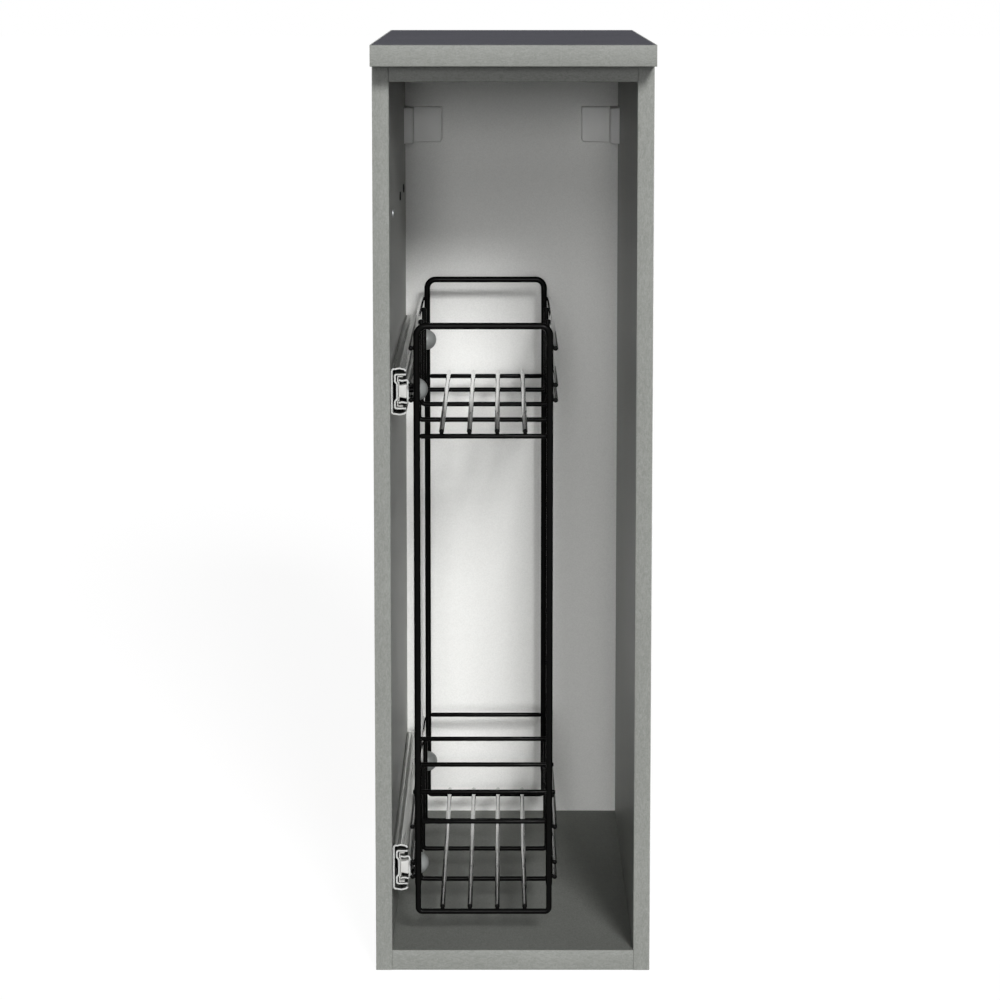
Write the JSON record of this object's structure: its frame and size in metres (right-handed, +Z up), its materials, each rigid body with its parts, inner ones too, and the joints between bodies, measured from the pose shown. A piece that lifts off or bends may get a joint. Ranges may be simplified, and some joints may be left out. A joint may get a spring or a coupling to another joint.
{
  "type": "pull-out spice cabinet",
  "caption": "Narrow open kitchen cabinet with a wire rack of tiers that pulls out on ball runners fixed to its left side.",
  "frame": {"origin": "middle of the bottom of the overall box, at the underside of the side panels", "axes": "+Z up, -Y out of the open front, +X to the right seen from the front"},
  "size_m": [0.2, 0.5, 0.673],
  "materials": {
    "carcass_board": "chipboard faced with grey foil in a fine leather-like grain, low gloss",
    "edge_strip": "grey edge strip, same grain as the boards",
    "back_board": "thin fibreboard, painted pale grey-white",
    "dowel_beech": "plain fluted beech",
    "zinc_steel": "bright zinc-plated sheet steel",
    "fastener_steel": "zinc-plated screws and bolts",
    "cam_zinc": "die-cast zinc",
    "hanger_steel": "plain pressed steel",
    "ball_steel": "polished bearing steel",
    "cage_plastic": "dark plastic",
    "cover_plastic": "pale grey satin plastic",
    "clamp_plastic": "mid grey satin plastic",
    "rack_black": "gloss black coated steel wire"
  },
  "bodies": {
    "cabinet": {"left_side_panel": "carcass_board", "right_side_panel": "carcass_board", "bottom_panel": "carcass_board", "top_panel": "carcass_board", "front_rail": "carcass_board", "rear_rail": "carcass_board", "left_edge_strip": "edge_strip", "right_edge_strip": "edge_strip", "bottom_edge_strip": "edge_strip", "front_rail_edge_strip": "edge_strip", "top_front_edge_strip": "edge_strip", "top_side_edge_strips": "edge_strip", "back_panel": "back_board", "wood_dowels": "dowel_beech", "upper_outer_member": "zinc_steel", "lower_outer_member": "zinc_steel", "cam_bolts": "fastener_steel", "top_fixing_screws": "fastener_steel", "hole_plug": "fastener_steel", "hanger_screws": "fastener_steel", "hook_screws": "fastener_steel", "runner_wall_screws": "fastener_steel", "cam_housings": "cam_zinc", "left_hanger_bracket": "hanger_steel", "right_hanger_bracket": "hanger_steel", "left_hanger_hook": "hanger_steel", "right_hanger_hook": "hanger_steel", "runner_rear_stops": "cage_plastic", "hole_sleeves": "cage_plastic", "left_hanger_cover": "cover_plastic", "right_hanger_cover": "cover_plastic"},
    "rack": {"rack_front_frame": "rack_black", "rack_rear_frame": "rack_black", "upper_cross_wires": "rack_black", "lower_cross_wires": "rack_black", "upper_end_bars": "rack_black", "upper_floor_wires": "rack_black", "lower_floor_wires": "rack_black", "upper_left_rails": "rack_black", "upper_right_rails": "rack_black", "lower_left_rails": "rack_black", "lower_right_rails": "rack_black", "bottle_divider_bars": "rack_black", "clamp_domes": "clamp_plastic", "clamp_screws": "fastener_steel", "upper_inner_member": "zinc_steel", "lower_inner_member": "zinc_steel", "runner_front_stops": "cover_plastic"},
    "upper_middle": {"upper_middle_member": "zinc_steel"},
    "upper_outer_cage": {"upper_outer_cage": "cage_plastic", "upper_outer_balls": "ball_steel"},
    "upper_inner_cage": {"upper_inner_cage": "cage_plastic", "upper_inner_balls": "ball_steel"},
    "lower_middle": {"lower_middle_member": "zinc_steel"},
    "lower_outer_cage": {"lower_outer_cage": "cage_plastic", "lower_outer_balls": "ball_steel"},
    "lower_inner_cage": {"lower_inner_cage": "cage_plastic", "lower_inner_balls": "ball_steel"}
  },
  "joints": [
    {"name": "rack_slide", "type": "slide", "parent": "cabinet", "child": "rack", "axis": [0, -1, 0], "range_m": [0, 0.4]},
    {"name": "upper_middle_slide", "type": "slide", "parent": "cabinet", "child": "upper_middle", "axis": [0, -1, 0], "range_m": [0, 0.2]},
    {"name": "upper_outer_cage_slide", "type": "slide", "parent": "cabinet", "child": "upper_outer_cage", "axis": [0, -1, 0], "range_m": [0, 0.1]},
    {"name": "upper_inner_cage_slide", "type": "slide", "parent": "cabinet", "child": "upper_inner_cage", "axis": [0, -1, 0], "range_m": [0, 0.3]},
    {"name": "lower_middle_slide", "type": "slide", "parent": "cabinet", "child": "lower_middle", "axis": [0, -1, 0], "range_m": [0, 0.2]},
    {"name": "lower_outer_cage_slide", "type": "slide", "parent": "cabinet", "child": "lower_outer_cage", "axis": [0, -1, 0], "range_m": [0, 0.1]},
    {"name": "lower_inner_cage_slide", "type": "slide", "parent": "cabinet", "child": "lower_inner_cage", "axis": [0, -1, 0], "range_m": [0, 0.3]}
  ],
  "couplings": [
    {"joint": "upper_middle_slide", "follows": "rack_slide", "ratio": 0.5},
    {"joint": "upper_outer_cage_slide", "follows": "rack_slide", "ratio": 0.25},
    {"joint": "upper_inner_cage_slide", "follows": "rack_slide", "ratio": 0.75},
    {"joint": "lower_middle_slide", "follows": "rack_slide", "ratio": 0.5},
    {"joint": "lower_outer_cage_slide", "follows": "rack_slide", "ratio": 0.25},
    {"joint": "lower_inner_cage_slide", "follows": "rack_slide", "ratio": 0.75}
  ]
}
